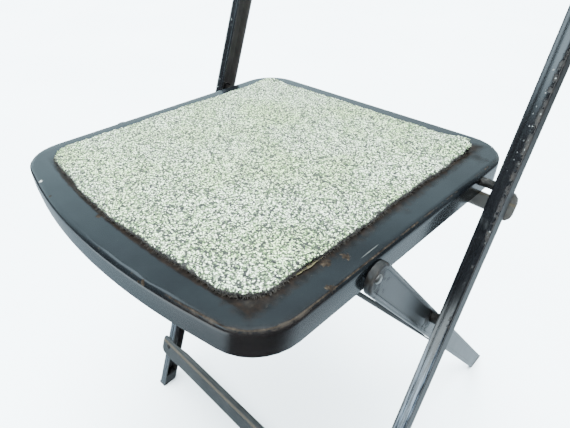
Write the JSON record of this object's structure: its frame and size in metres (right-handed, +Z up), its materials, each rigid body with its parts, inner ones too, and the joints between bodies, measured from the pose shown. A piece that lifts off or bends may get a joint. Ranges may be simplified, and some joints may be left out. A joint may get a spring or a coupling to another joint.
{
  "type": "folding chair",
  "caption": "Folding chair with leaning channel rails, scissor rear legs, a pressed tray seat with a glued textile mat and a bowed back panel.",
  "frame": {"origin": "on the floor, under the middle of the open chair's bounding box", "axes": "+Z up, -Y the way the sitter faces, +X to the sitter's left"},
  "size_m": [0.3848, 0.4984, 0.79],
  "materials": {
    "enamel": "worn gloss black enamel with rust on its edges",
    "textile": "speckled looped textile",
    "steel": "dull dark steel",
    "rubber": "matt black rubber"
  },
  "bodies": {
    "frame": {"rail_left": "enamel", "rail_right": "enamel", "front_stretcher": "enamel", "rear_crossbar": "enamel", "back_panel": "enamel", "front_glide_left": "rubber", "front_glide_right": "rubber", "stretcher_rivet_left": "steel", "stretcher_rivet_right": "steel", "crossbar_rivet_left": "steel", "crossbar_rivet_right": "steel", "panel_rivet_low_left": "steel", "panel_rivet_low_right": "steel", "panel_rivet_high_left": "steel", "panel_rivet_high_right": "steel", "cross_pin_left": "steel", "cross_pin_right": "steel", "cross_spacer_left": "steel", "cross_spacer_right": "steel"},
    "rear_legs": {"rear_leg_left": "enamel", "rear_leg_right": "enamel", "rear_stretcher": "enamel", "rear_glide_left": "rubber", "rear_glide_right": "rubber"},
    "seat": {"seat_pan": "enamel", "seat_mat": "textile", "slide_axle": "steel", "seat_pivot_left": "steel", "seat_pivot_right": "steel", "seat_pivot_bush_left": "steel", "seat_pivot_bush_right": "steel", "slide_roller_left": "steel", "slide_roller_right": "steel"}
  },
  "joints": [
    {"name": "leg_fold", "type": "hinge", "parent": "frame", "child": "rear_legs", "pos_m": [0, -0.02281, 0.31528], "axis": [-1, 0, 0], "range_deg": [0, 55]},
    {"name": "seat_tilt", "type": "hinge", "parent": "rear_legs", "child": "seat", "pos_m": [0, -0.13354, 0.43866], "axis": [1, 0, 0], "range_deg": [0, 115.9]}
  ],
  "couplings": [
    {"joint": "seat_tilt", "follows": "leg_fold", "ratio": 2.107}
  ]
}
